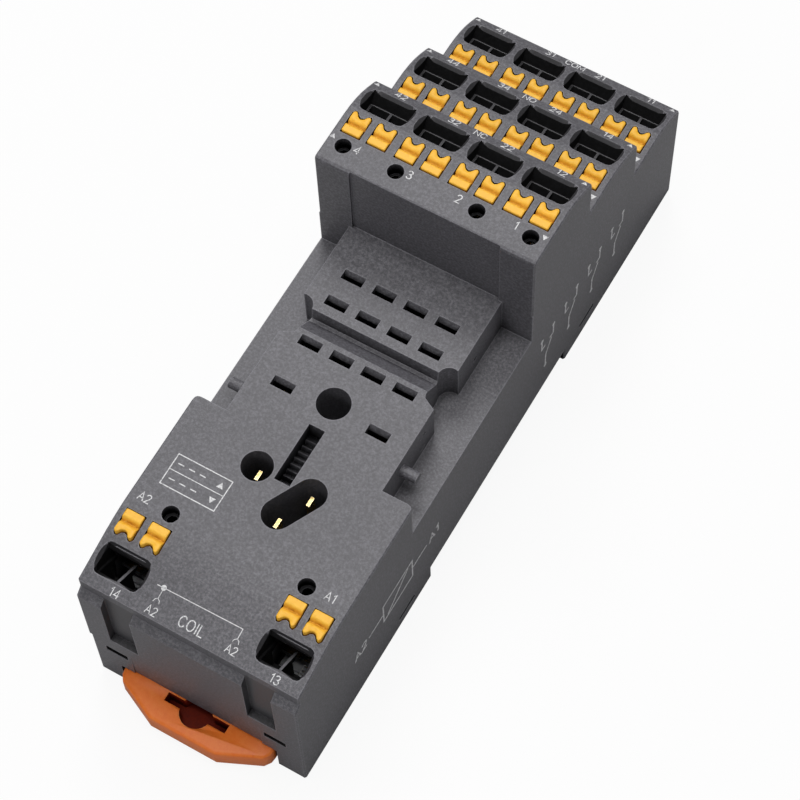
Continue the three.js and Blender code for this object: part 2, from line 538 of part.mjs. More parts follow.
function makeBar(un) {
  const y = unitY(un.rear, un.dir);
  const xb = BLADES[un.col], yr = ROWS[un.row], yc = yr - 0.22;
  const z0 = un.run, z1 = un.run + 0.8, h = 1.1;
  const span = (a, b) => [Math.min(a, b), Math.max(a, b)];
  const parts = [fork(xb, yr)];
  parts.push(box(xb - h, xb + h, yc - 0.4, yc + 0.4, z0, 11.7));
  // jog from the blade column to the terminal column
  const jog = un.dir > 0 ? 5.2 : -18.6;
  const [r0, r1] = span(yc - un.dir * 0.4, jog + un.dir * h);
  parts.push(box(xb - h, xb + h, r0, r1, z0, z1));
  const [j0, j1] = span(xb, un.x);
  parts.push(box(j0 - h, j1 + h, jog - h, jog + h, z0, z1));
  const [p0, p1] = span(jog, y(-9.6));
  parts.push(box(un.x - h, un.x + h, p0, p1, z0, z1));
  // riser, clamp plate and shelf in the chamber
  const [c0, c1] = span(y(-10.2), y(-9.6));
  parts.push(box(un.x - h, un.x + h, c0, c1, z0, un.top - 12.8));
  parts.push(box(un.x - 2.8, un.x + 2.8, c0, c1, un.top - 13.3, un.top - 9.2));
  const [s0, s1] = span(y(-10.2), y(-5.0));
  parts.push(box(un.x - 2.8, un.x + 2.8, s0, s1, un.top - 13.4, un.top - 12.9));
  // tongues for the plug-in module beside the relay
  const tongue = (x, yt) => {
    parts.push(box(Math.min(x - 0.22, un.x), Math.max(x + 0.22, un.x), yt - 0.65, yt + 0.65, z0, z1));
    parts.push(box(x - 0.22, x + 0.22, yt - 0.65, yt + 0.65, z0, 22.6));
  };
  if (un.name === 'a2') tongue(-3.75, -25.5);
  if (un.name === 'a1') { tongue(3.4, -25.4); tongue(1.45, -29.7); }
  return join(parts);
}

// ------------------------------------------------------------------- assembly
const root = new THREE.Group();

function material(color, roughness, metalness = 0) {
  return new THREE.MeshStandardMaterial({ color, roughness, metalness });
}

function put(name, manifold, mat, position) {
  const mesh = new THREE.Mesh(geometryOf(manifold), mat);
  mesh.name = name;
  if (position) mesh.position.set(...position);
  root.add(mesh);
  return mesh;
}

put('housing', makeHousing(), material(0x5f5e63, 0.62));
put('bottom_cover', makeCover(), material(0x4a494c, 0.62));
put('rail_foot', makeFoot(), material(0xe8712c, 0.42));
put('rail_foot_spring', makeFootSpring(), material(0xb9bcc0, 0.3, 1));

const buttonShape = makeButton();
for (const un of UNITS) {
  const y = unitY(un.rear, un.dir);
  put(`contact_bar_${un.name}`, makeBar(un), material(0xc9a75a, 0.32, 1));
  put(`clamp_spring_${un.name}`, makeSpring(un), material(0xb9bcc0, 0.3, 1));
  [-1, 1].forEach((side, i) => {
    const b = put(`release_button_${un.name}_${i === 0 ? 'left' : 'right'}`, buttonShape, material(0xf7b731, 0.4),
      [un.x + side * BTN_HALF_PITCH, y(un.btnU), un.top]);
    if (un.dir < 0) b.rotation.z = Math.PI;
  });
}

export default root;
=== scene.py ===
import math

import bmesh
import bpy
from mathutils import Matrix, Vector


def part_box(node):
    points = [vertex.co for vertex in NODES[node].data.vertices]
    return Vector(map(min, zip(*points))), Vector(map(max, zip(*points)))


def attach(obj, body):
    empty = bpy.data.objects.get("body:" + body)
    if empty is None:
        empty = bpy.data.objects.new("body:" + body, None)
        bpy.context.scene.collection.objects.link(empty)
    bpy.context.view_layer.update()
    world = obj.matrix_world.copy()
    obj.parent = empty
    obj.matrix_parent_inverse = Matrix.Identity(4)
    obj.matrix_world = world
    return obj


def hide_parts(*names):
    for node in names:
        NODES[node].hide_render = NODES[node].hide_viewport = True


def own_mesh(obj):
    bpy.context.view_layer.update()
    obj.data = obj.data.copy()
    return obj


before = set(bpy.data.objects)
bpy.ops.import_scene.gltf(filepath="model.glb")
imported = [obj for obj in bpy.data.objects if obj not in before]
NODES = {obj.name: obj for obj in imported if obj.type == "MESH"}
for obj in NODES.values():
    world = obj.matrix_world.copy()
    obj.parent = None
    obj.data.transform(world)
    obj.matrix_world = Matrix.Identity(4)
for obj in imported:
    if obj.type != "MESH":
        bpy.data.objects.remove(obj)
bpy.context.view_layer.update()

MM = 0.001


# ------------------------------------------------------------------ dimensions
Z_DECK = 25.3
Y_COIL_BEND = -38.7
COIL_ANG = math.atan2(25.3 - 23.05, -38.7 + 47.5)
TIERS = [("nc", 22.2, 38.3), ("no", 34.9, 28.9), ("com", 47.6, 19.5)]
TIER_BEND, TIER_DROP = 4.3, 2.65
TIER_ANG = math.atan2(TIER_DROP, TIER_BEND)
COLS = [-11.1, -3.7, 3.7, 11.1]
BTN_PITCH = 1.77


# ------------------------------------------------------------------- materials
def srgb(h):
    c = [int(h[i:i + 2], 16) / 255 for i in (1, 3, 5)]
    return tuple(x / 12.92 if x <= 0.04045 else ((x + 0.055) / 1.055) ** 2.4 for x in c) + (1.0,)


class Mat:
    """A node material with a principled shader at its end."""

    def __init__(self, name):
        self.m = bpy.data.materials.new(name)
        self.m.use_nodes = True
        self.t = self.m.node_tree
        self.t.nodes.clear()
        out = self.node("ShaderNodeOutputMaterial")
        self.b = self.node("ShaderNodeBsdfPrincipled")
        self.t.links.new(self.b.outputs[0], out.inputs["Surface"])
        co = self.node("ShaderNodeTexCoord")
        info = self.node("ShaderNodeObjectInfo")
        off = self.node("ShaderNodeVectorMath", operation="ADD")
        self.link(co.outputs["Object"], off.inputs[0])
        self.link(info.outputs["Random"], off.inputs[1])
        self.co = off.outputs[0]
        self.place = co.outputs["Object"]

    def node(self, kind, **kw):
        n = self.t.nodes.new(kind)
        for k, v in kw.items():
            setattr(n, k, v)
        return n

    def link(self, a, b):
        self.t.links.new(a, b)

    def math(self, op, a, b=None, clamp=False):
        n = self.node("ShaderNodeMath", operation=op, use_clamp=clamp)
        for i, v in enumerate((a, b)):
            if v is None:
                continue
            if isinstance(v, (int, float)):
                n.inputs[i].default_value = v
            else:
                self.link(v, n.inputs[i])
        return n.outputs[0]

    def stretched(self, sx, sy, sz):
        n = self.node("ShaderNodeVectorMath", operation="MULTIPLY")
        self.link(self.co, n.inputs[0])
        n.inputs[1].default_value = (sx, sy, sz)
        return n.outputs[0]

    def noise(self, scale, detail=2.0, rough=0.5, vector=None):
        n = self.node("ShaderNodeTexNoise")
        n.inputs["Scale"].default_value = scale
        n.inputs["Detail"].default_value = detail
        n.inputs["Roughness"].default_value = rough
        self.link(vector or self.co, n.inputs["Vector"])
        return n.outputs["Fac"]

    def ramp(self, fac, lo, hi, a=0.0, b=1.0):
        n = self.node("ShaderNodeMapRange")
        self.link(fac, n.inputs["Value"])
        for k, v in zip(("From Min", "From Max", "To Min", "To Max"), (lo, hi, a, b)):
            n.inputs[k].default_value = v
        return n.outputs["Result"]

    def mix(self, fac, a, b):
        n = self.node("ShaderNodeMix", data_type="RGBA")
        if isinstance(fac, (int, float)):
            n.inputs[0].default_value = fac
        else:
            self.link(fac, n.inputs[0])
        for i, v in ((6, a), (7, b)):
            if isinstance(v, tuple):
                n.inputs[i].default_value = v
            else:
                self.link(v, n.inputs[i])
        return n.outputs[2]

    def edges(self, radius, gain):
        """How close to an outer edge a point is, 0 to 1."""
        bev = self.node("ShaderNodeBevel", samples=4)
        bev.inputs["Radius"].default_value = radius
        geo = self.node("ShaderNodeNewGeometry")
        d = self.node("ShaderNodeVectorMath", operation="DOT_PRODUCT")
        self.link(bev.outputs[0], d.inputs[0])
        self.link(geo.outputs["Normal"], d.inputs[1])
        return self.math("MULTIPLY", self.math("SUBTRACT", 1.0, d.outputs["Value"]), gain, clamp=True)

    def bump(self, height, distance, strength, radius=0.0):
        n = self.node("ShaderNodeBump")
        n.inputs["Strength"].default_value = strength
        n.inputs["Distance"].default_value = distance
        self.link(height, n.inputs["Height"])
        if radius:
            bev = self.node("ShaderNodeBevel", samples=6)
            bev.inputs["Radius"].default_value = radius
            self.link(bev.outputs[0], n.inputs["Normal"])
        self.link(n.outputs[0], self.b.inputs["Normal"])

    def cavity(self, distance, lo, hi):
        """1 in the open, falling to 0 deep in a recess."""
        ao = self.node("ShaderNodeAmbientOcclusion", samples=8)
        ao.inputs["Distance"].default_value = distance
        return self.ramp(ao.outputs["AO"], lo, hi)

    def inside(self, boxes):
        """1 inside any of the boxes (mm, mirrored in x), else 0."""
        sep = self.node("ShaderNodeSeparateXYZ")
        self.link(self.place, sep.inputs[0])
        ax = self.math("ABSOLUTE", sep.outputs[0])
        total = None
        for lo, hi in boxes:
            part = None
            for v, a, b in zip((ax, sep.outputs[1], sep.outputs[2]), lo, hi):
                t = self.math("MULTIPLY", self.math("GREATER_THAN", v, a * MM), self.math("LESS_THAN", v, b * MM))
                part = t if part is None else self.math("MULTIPLY", part, t)
            total = part if total is None else self.math("MAXIMUM", total, part)
        return total

    def put(self, key, value):
        if isinstance(value, (int, float, tuple)):
            self.b.inputs[key].default_value = value
        else:
            self.link(value, self.b.inputs[key])


def moulded(name, dark, mid, light, edge, rough, grain=2100.0, spread=0.16, bump=0.35, spec=0.4, edge_gain=3.0,
             radius=0.00018, deep=None, reach=0.0035, shut=(0.12, 0.55), shade=()):
    """Moulded plastic: spark-eroded grain, slight mottling, colour drift over the part, and a painted highlight along
    the outer edges (a painted dark outline where the edge tone is darker than the body).
    """
    m = Mat(name)
    mottle = m.noise(grain, 3.0, 0.6)
    fine = m.noise(grain * 3.4, 2.0, 0.6)
    drift = m.noise(70.0, 2.0, 0.5)
    f = m.math("ADD", m.math("MULTIPLY", mottle, 0.62), m.math("MULTIPLY", fine, 0.38))
    base = m.mix(m.ramp(f, 0.5 - spread, 0.5), srgb(dark), srgb(mid))
    base = m.mix(m.ramp(f, 0.5, 0.5 + spread), base, srgb(light))
    base = m.mix(m.ramp(drift, 0.3, 0.75, 0.0, 0.22), base, srgb(dark))
    # painted highlight: outer edges are pulled towards the edge tone, which gives a painted dark outline where that
    # tone is darker
    base = m.mix(m.edges(0.00026, edge_gain), base, srgb(edge))
    # painted shade: inside the listed boxes the colour is pulled towards a dark tone
    for boxes, tone, amount in shade:
        base = m.mix(m.math("MULTIPLY", m.inside(boxes), amount), base, srgb(tone))
    if deep:
        # painted shade: deep in recesses the colour falls to the deep tone, where little light reaches, and the
        # specular falls with it
        open_ = m.cavity(reach, *shut)
        base = m.mix(open_, srgb(deep), base)
        m.put("Specular IOR Level", m.math("MULTIPLY", open_, spec))
    else:
        m.put("Specular IOR Level", spec)
    m.put("Base Color", base)
    m.put("Roughness", m.ramp(f, 0.3, 0.7, rough - 0.07, rough + 0.07))
    m.bump(f, 0.00003, bump, radius)
    return m.m


def metal(name, colour, tarnish, rough, along=(1, 1, 1)):
    """Rolled sheet metal: fine rolling lines, faint tarnish, brighter sheared edges."""
    m = Mat(name)
    lines = m.noise(2600.0, 3.0, 0.6, m.stretched(*along))
    patch = m.noise(520.0, 3.0, 0.6)
    base = m.mix(m.ramp(patch, 0.38, 0.72, 0.0, 0.75), srgb(colour), srgb(tarnish))
    base = m.mix(m.edges(0.00008, 2.5), base, srgb("#f4ead2"))
    m.put("Base Color", base)
    m.put("Metallic", 1.0)
    m.put("Roughness", m.ramp(lines, 0.3, 0.7, rough - 0.08, rough + 0.12))
    m.bump(lines, 0.00001, 0.3)
    return m.m


def ink(name, colour):
    """Pad print: slightly broken cover over the grain below."""
    m = Mat(name)
    f = m.noise(5200.0, 2.0, 0.6)
    m.put("Base Color", m.mix(m.ramp(f, 0.33, 0.5), srgb("#9b9b9e"), srgb(colour)))
    m.put("Roughness", m.ramp(f, 0.3, 0.7, 0.55, 0.75))
    m.bump(f, 0.00001, 0.2)
    return m.m


# channels and snap windows of the apron, and the windows low in the flanks, painted in shade: (x, y, z) ranges in mm,
# both sides
CHANNELS = [((7.65, -48.44, 9.85), (11.75, -46.5, 21.45))]
WINDOWS = [((9.65, -48.44, 5.4), (12.85, -45.0, 6.9)), ((12.0, -25.55, -0.95), (15.04, -21.65, -0.05)),
           ((12.0, 21.65, -0.5), (15.04, 25.65, 0.4))]
M_HOUSING = moulded("housing_plastic", "#4a494e", "#5e5d62", "#78777d", "#9f9ea5", 0.5, grain=3000.0, spread=0.12, deep="#0b0b0c",
                    edge_gain=3.0, spec=0.5, shade=((CHANNELS, "#29282a", 0.62), (WINDOWS, "#060606", 1.0)))
# painted shade and light: shaded and lit copies of the housing plastic for the wire pockets, with mouth bands, ribs
# and walls darker and coil ribs lighter
M_BAND = moulded("lead_in_painted_shade", "#2d2d2f", "#353437", "#3e3d40", "#6b6a6e", 0.55, deep="#0b0b0c", edge_gain=2.0, spec=0.3)
M_RIB_COIL = moulded("coil_rib_painted_light", "#5f5e62", "#6f6e72", "#7f7e83", "#a5a4a9", 0.5, edge_gain=1.5, spec=0.4)
M_RIB = moulded("rib_painted_shade", "#38373a", "#434245", "#4e4d50", "#77767a", 0.55, edge_gain=1.5, spec=0.3)
M_DEEP = moulded("recess_painted_shade", "#131314", "#19191a", "#202022", "#2c2c2e", 0.7, edge_gain=0.5, spec=0.15)
M_COVER = moulded("cover_plastic", "#434246", "#4f4e52", "#5f5e62", "#7f7e83", 0.58, deep="#0e0e0f")
M_FOOT = moulded("foot_plastic", "#f37024", "#fc8230", "#ff9646", "#ffc48c", 0.40, grain=1400.0, spread=0.3, bump=0.12,
                 edge_gain=1.6, spec=0.35, deep="#5c1206", reach=0.002, shut=(0.05, 0.45))
# painted shade: the inside of the latch hole in dark red-brown
M_FOOT_IN = moulded("foot_hole_painted_shade", "#5c1505", "#741d08", "#8a290c", "#a8401a", 0.6, grain=1400.0, spread=0.3, bump=0.12,
                    edge_gain=0.6, spec=0.15, deep="#3a0a02", reach=0.002, shut=(0.05, 0.6))
M_BUTTON = moulded("button_plastic", "#f3b02e", "#fec23e", "#ffce56", "#cf7c1e", 0.46, grain=1500.0, spread=0.3, bump=0.15, edge_gain=0.9,
                   spec=0.35, deep="#a9600f", reach=0.0009, shut=(0.3, 0.82))
M_BRASS = metal("contact_metal", "#d9bf83", "#a98a4e", 0.3, (1, 1, 0.06))
M_STEEL = metal("spring_metal", "#c9cbce", "#95979b", 0.28, (0.06, 1, 1))
M_INK = ink("marking_ink", "#e4e4e6")


# ---------------------------------------------------------------- mesh helpers
def obj_from(bm, name, mat, body, smooth=32.0):
    me = bpy.data.meshes.new(name)
    bm.to_mesh(me)
    bm.free()
    return wrap(me, name, mat, body, smooth)


def wrap(me, name, mat, body, smooth=32.0):
    me.materials.clear()
    me.materials.append(mat)
    for p in me.polygons:
        p.use_smooth = True
    me.set_sharp_from_angle(angle=math.radians(smooth))
    o = bpy.data.objects.new(name, me)
    bpy.context.scene.collection.objects.link(o)
    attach(o, body)
    return o


def clean_copy(node):
    bm = bmesh.new()
    bm.from_mesh(NODES[node].data)
    bmesh.ops.remove_doubles(bm, verts=bm.verts, dist=2e-6)
    bmesh.ops.dissolve_limit(bm, angle_limit=math.radians(0.4), verts=bm.verts, edges=bm.edges)
    bmesh.ops.dissolve_degenerate(bm, dist=4e-6, edges=bm.edges)
    return bm


def round_edges(bm, offset, segments, pick):
    """Rounds the outer edges for which pick(edge, middle, angle) says yes."""
    chosen = []
    for e in bm.edges:
        if len(e.link_faces) != 2 or not e.is_convex:
            continue
        a = e.calc_face_angle(0.0)
        if pick(e, (e.verts[0].co + e.verts[1].co) / 2 / MM, math.degrees(a)):
            chosen.append(e)
    bmesh.ops.bevel(bm, geom=chosen, offset=offset, offset_type="OFFSET", segments=segments, profile=0.5,
                    affect="EDGES", clamp_overlap=False, miter_outer="SHARP", miter_inner="SHARP")
    return len(chosen)


def box_into(bm, x0, x1, y0, y1, z0, z1, r):
    """A box with rounded edges, as its own shell."""
    part = bmesh.new()
    bmesh.ops.create_cube(part, size=1.0)
    for v in part.verts:
        v.co = Vector(((x0 + x1) / 2 + v.co.x * (x1 - x0), (y0 + y1) / 2 + v.co.y * (y1 - y0), (z0 + z1) / 2 + v.co.z * (z1 - z0)))
    bmesh.ops.bevel(part, geom=part.edges[:], offset=r, offset_type="OFFSET", segments=2, profile=0.5, affect="EDGES")
    me = bpy.data.meshes.new("part")
    part.to_mesh(me)
    part.free()
    bm.from_mesh(me)
    bpy.data.meshes.remove(me)


def lerp_table(table, t, smooth=True):
    if t <= table[0][0]:
        return table[0][1]
    for (a, va), (b, vb) in zip(table, table[1:]):
        if t <= b:
            f = (t - a) / (b - a)
            if smooth:
                f = f * f * (3 - 2 * f)
            return va + (vb - va) * f
    return table[-1][1]


def step(a, b, t):
    f = min(max((t - a) / (b - a), 0.0), 1.0)
    return f * f * (3 - 2 * f)


# --------------------------------------------------------------------- buttons
HEAD_TOP = [(0.0, 0.9), (0.22, 0.93), (0.44, 1.09), (0.6, 1.33), (0.76, 1.52), (0.92, 1.59), (1.06, 1.55), (1.18, 1.43), (1.25, 1.25)]
PROFILE = [(-1.63, 0.25), (-1.5, 0.27), (-0.66, 0.27), (-0.52, 0.2), (-0.38, -0.05), (-0.24, -0.34), (-0.1, -0.34),
           (0.02, -0.2), (0.2, 0.04), (0.5, 0.16), (0.95, 0.19), (1.6, 0.12)]


def button_mesh():
    nx, ny = 26, 30
    bm = bmesh.new()

    def spread(i, n):
        # denser towards both ends
        t = i / n
        return 0.5 - 0.5 * math.cos(math.pi * t) if 0 < i < n else t

    def y_hi(x):
        return lerp_table(HEAD_TOP, abs(x), smooth=False)

    def y_lo(x):
        a = abs(x) - 1.07
        return -1.63 + (0.18 - math.sqrt(max(0.18 ** 2 - a * a, 0.0)) if a > 0 else 0.0)

    def height(x, y):
        z = lerp_table(PROFILE, y)
        w = step(0.15, 0.75, y)
        lobes = 0.03 * math.cos(math.pi * min(abs(abs(x) - 0.85) / 0.6, 1.0)) - 0.13 * math.exp(-(x / 0.5) ** 2) * step(0.35, 1.0, y)
        z += w * lobes
        d = min(1.25 - abs(x), y - y_lo(x), (y_hi(x) - y) * 0.8)
        r = 0.12
        if d < r:
            z -= (r - math.sqrt(max(r * r - (r - d) ** 2, 0.0))) * 0.9
        return min(z, 0.27)

    grid = []
    for i in range(nx + 1):
        x = -1.25 + 2.5 * spread(i, nx)
        col = []
        for j in range(ny + 1):
            t = j / ny
            t = t + 0.06 * math.sin(2 * math.pi * t) * -1
            y = y_lo(x) + (y_hi(x) - y_lo(x)) * t
            col.append(bm.verts.new((x * MM, y * MM, height(x, y) * MM)))
        grid.append(col)
    for i in range(nx):
        for j in range(ny):
            bm.faces.new((grid[i][j], grid[i + 1][j], grid[i + 1][j + 1], grid[i][j + 1]))
    rim = [grid[i][0] for i in range(nx + 1)] + [grid[nx][j] for j in range(1, ny + 1)] + \
          [grid[i][ny] for i in range(nx - 1, -1, -1)] + [grid[0][j] for j in range(ny - 1, 0, -1)]
    low = [bm.verts.new((v.co.x, v.co.y, -2.9 * MM)) for v in rim]
    n = len(rim)
    for k in range(n):
        bm.faces.new((rim[(k + 1) % n], rim[k], low[k], low[(k + 1) % n]))
    bm.faces.new(low)
    box_into(bm, -1.36 * MM, 1.36 * MM, -2.2 * MM, 1.3 * MM, -3.5 * MM, -2.75 * MM, 0.1 * MM)
    box_into(bm, -0.75 * MM, 0.75 * MM, -1.3 * MM, -0.35 * MM, -10.2 * MM, -3.4 * MM, 0.1 * MM)
    bmesh.ops.recalc_face_normals(bm, faces=bm.faces)
    me = bpy.data.meshes.new("button")
    bm.to_mesh(me)
    bm.free()
    return me


def buttons():
    shape = button_mesh()
    rows = [(i, rear, top, 1) for i, (_, rear, top) in enumerate(TIERS)]
    places = []
    for i, rear, top, _ in rows:
        for c, x in enumerate(COLS):
            places.append((f"{4 - c}{[2, 4, 1][i]}", x, rear - 7.93, top, 1))
    places += [("a2", COLS[0], -39.3, Z_DECK, -1), ("a1", COLS[3], -39.3, Z_DECK, -1)]
    for name, x, y, z, d in places:
        for side, word in ((-1, "left"), (1, "right")):
            me = shape.copy()
            m = Matrix.Translation(Vector((x + side * BTN_PITCH, y, z)) * MM)
            if d < 0:
                m = m @ Matrix.Rotation(math.pi, 4, "Z")
            me.transform(m)
            o = wrap(me, f"button_{name}_{word}_cap", M_BUTTON, f"button_{name}_{word}", 50)
            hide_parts(f"release_button_{name}_{word}")
    bpy.data.meshes.remove(shape)


# ------------------------------------------------------------------- rail foot
def foot():
    bm = clean_copy("rail_foot")

    def rim(e, mid, ang):
        top = all(abs(v.co.z - 1.7 * MM) < 0.02 * MM for v in e.verts)
        return top and ang > 30 and mid.y < -46.9 and math.hypot(mid.x, mid.y + 49.1) > 2.3 and \
            not (abs(mid.x) < 4.6 and mid.y > -50.0)

    round_edges(bm, 0.4 * MM, 4, rim)

    def rest(e, mid, ang):
        return ang > 40 and e.calc_length() > 0.5 * MM and (mid.z < 1.2 or math.hypot(mid.x, mid.y + 49.1) < 5.0)

    round_edges(bm, 0.12 * MM, 2, rest)
    o = obj_from(bm, "rail_foot_latch_shell", M_FOOT, "rail_foot_latch", 35)
    o.data.materials.append(M_FOOT_IN)
    # painted shade: faces in and around the latch hole take the dark red-brown material
    for p in o.data.polygons:
        c = p.center / MM
        near = math.hypot(c.x, c.y + 49.1) < 2.6 or (abs(c.x) < 4.75 and c.y > -50.6)
        if near and c.y < -46.5 and -2.4 < c.z < 1.62:
            p.material_index = 1
    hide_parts("rail_foot")
    return o


def foot_spring():
    """Round wire coil between the abutment of the cover and the foot."""
    bm = bmesh.new()
    turns, r, wire, y0, y1, zc = 6, 0.95, 0.2, -31.25, -23.65, 0.3
    steps, k = turns * 28, 10
    rings = []
    for i in range(steps + 1):
        t = i / steps
        a = 2 * math.pi * turns * t
        y = y0 + (y1 - y0) * t
        c = Vector((r * math.cos(a), y, zc + r * math.sin(a)))
        tan = Vector((-r * math.sin(a) * 2 * math.pi * turns, y1 - y0, r * math.cos(a) * 2 * math.pi * turns)).normalized()
        out = Vector((math.cos(a), 0, math.sin(a)))
        side = tan.cross(out).normalized()
        ring = []
        for j in range(k):
            b = 2 * math.pi * j / k
            ring.append(bm.verts.new((c + (out * math.cos(b) + side * math.sin(b)) * wire) * MM))
        rings.append(ring)
    for a, b in zip(rings, rings[1:]):
        for j in range(k):
            bm.faces.new((a[j], a[(j + 1) % k], b[(j + 1) % k], b[j]))
    bm.faces.new(rings[0])
    bm.faces.new(rings[-1])
    bmesh.ops.recalc_face_normals(bm, faces=bm.faces)
    o = obj_from(bm, "foot_spring_wire", M_STEEL, "socket", 50)
    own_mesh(o)
    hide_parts("rail_foot_spring")


# -------------------------------------------------------------------- markings
GLYPHS = {
    "1": (0.34, [[(0.02, 0.78), (0.24, 1.0), (0.24, 0.0)]]),
    "2": (0.56, [[(0.02, 0.76), (0.09, 0.92), (0.27, 1.0), (0.45, 0.93), (0.53, 0.76), (0.46, 0.56), (0.01, 0.0), (0.56, 0.0)]]),
    "3": (0.56, [[(0.02, 0.84), (0.12, 0.96), (0.28, 1.0), (0.45, 0.93), (0.51, 0.76), (0.43, 0.6), (0.25, 0.54),
                  (0.44, 0.47), (0.55, 0.27), (0.46, 0.07), (0.27, 0.0), (0.1, 0.05), (0.0, 0.2)]]),
    "4": (0.6, [[(0.44, 0.0), (0.44, 1.0), (0.0, 0.3), (0.6, 0.3)]]),
    "A": (0.66, [[(0.0, 0.0), (0.33, 1.0), (0.66, 0.0)], [(0.13, 0.34), (0.53, 0.34)]]),
    "N": (0.58, [[(0.0, 0.0), (0.0, 1.0), (0.58, 0.0), (0.58, 1.0)]]),
    "C": (0.6, [[(0.6, 0.78), (0.48, 0.94), (0.32, 1.0), (0.13, 0.91), (0.01, 0.66), (0.01, 0.34), (0.13, 0.09),
                 (0.32, 0.0), (0.48, 0.06), (0.6, 0.22)]]),
    "O": (0.68, [[(0.34, 1.0), (0.12, 0.91), (0.0, 0.66), (0.0, 0.34), (0.12, 0.09), (0.34, 0.0), (0.56, 0.09),
                  (0.68, 0.34), (0.68, 0.66), (0.56, 0.91), (0.34, 1.0)]]),
    "M": (0.74, [[(0.0, 0.0), (0.0, 1.0), (0.37, 0.25), (0.74, 1.0), (0.74, 0.0)]]),
    "I": (0.06, [[(0.03, 0.0), (0.03, 1.0)]]),
    "L": (0.48, [[(0.0, 1.0), (0.0, 0.0), (0.48, 0.0)]]),
}
INK_T = 0.025


def ribbon(bm, line, width, to3d):
    """A flat printed line as a thin closed strip."""
    closed = line[0] == line[-1]
    pts = [Vector(p) for p in (line[:-1] if closed else line)]
    n = len(pts)
    left, right = [], []
    for i, p in enumerate(pts):
        prev = pts[i - 1] if (i or closed) else None
        nxt = pts[(i + 1) % n] if (i < n - 1 or closed) else None
        a = (p - prev).normalized() if prev is not None else (nxt - p).normalized()
        b = (nxt - p).normalized() if nxt is not None else a
        na, nb = Vector((-a.y, a.x)), Vector((-b.y, b.x))
        m = (na + nb)
        m = m.normalized() if m.length > 1e-6 else na
        k = min(1.0 / max(m.dot(na), 0.35), 2.2)
        left.append(p + m * (width / 2 * k))
        right.append(p - m * (width / 2 * k))
    rows = []
    for lo_, hi_ in zip(left, right):
        rows.append([bm.verts.new(to3d(q, h)) for q, h in ((lo_, -0.01), (lo_, INK_T), (hi_, INK_T), (hi_, -0.01))])
    count = n if closed else n - 1
    for i in range(count):
        a, b = rows[i], rows[(i + 1) % n]
        for j in range(4):
            bm.faces.new((a[j], a[(j + 1) % 4], b[(j + 1) % 4], b[j]))
    if not closed:
        bm.faces.new(rows[0][::-1])
        bm.faces.new(rows[-1])


def patch(bm, pts, to3d):
    """A filled printed outline."""
    lo_ = [bm.verts.new(to3d(Vector(p), -0.01)) for p in pts]
    hi_ = [bm.verts.new(to3d(Vector(p), INK_T)) for p in pts]
    n = len(pts)
    bm.faces.new(hi_)
    bm.faces.new(lo_[::-1])
    for i in range(n):
        bm.faces.new((lo_[i], lo_[(i + 1) % n], hi_[(i + 1) % n], hi_[i]))


def on_flat(z):
    return lambda q, h: Vector((q.x, q.y, z + h)) * MM


def on_coil(q, h):
    """(x, y) of the coil facet seen from above."""
    z = Z_DECK - (Y_COIL_BEND - q.y) * math.tan(COIL_ANG)
    return (Vector((q.x, q.y, z)) + Vector((0, -math.sin(COIL_ANG), math.cos(COIL_ANG))) * h) * MM


def on_slope(rear, top):
    """(x, s) on a tier's falling facet, s outwards from the bend."""
    c, s = math.cos(TIER_ANG), math.sin(TIER_ANG)
    return lambda q, h: (Vector((q.x, rear - TIER_BEND + q.y * c, top - q.y * s)) + Vector((0, s, c)) * h) * MM


def on_side(q, h):
    """(y, z) on the right flank, read from outside."""
    return Vector((15.1 + h, q.x, q.y)) * MM


def text(bm, word, centre, height, width, to3d, gap=0.2, squeeze=1.0):
    total = sum(GLYPHS[c][0] for c in word) + gap * (len(word) - 1)
    x = -total / 2
    for c in word:
        w, lines = GLYPHS[c]
        for line in lines:
            pts = [(centre[0] + (x + px) * height * squeeze, centre[1] + (py - 0.5) * height) for px, py in line]
            ribbon(bm, pts, width, to3d)
        x += w + gap


def triangle(bm, c, r, up, to3d):
    s = 1 if up else -1
    patch(bm, [(c[0] - r * s, c[1] - r * 0.8 * s), (c[0] + r * s, c[1] - r * 0.8 * s), (c[0], c[1] + r * 0.9 * s)], to3d)


def disc(bm, c, r, to3d, n=20):
    patch(bm, [(c[0] + r * math.cos(2 * math.pi * i / n), c[1] + r * math.sin(2 * math.pi * i / n)) for i in range(n)], to3d)


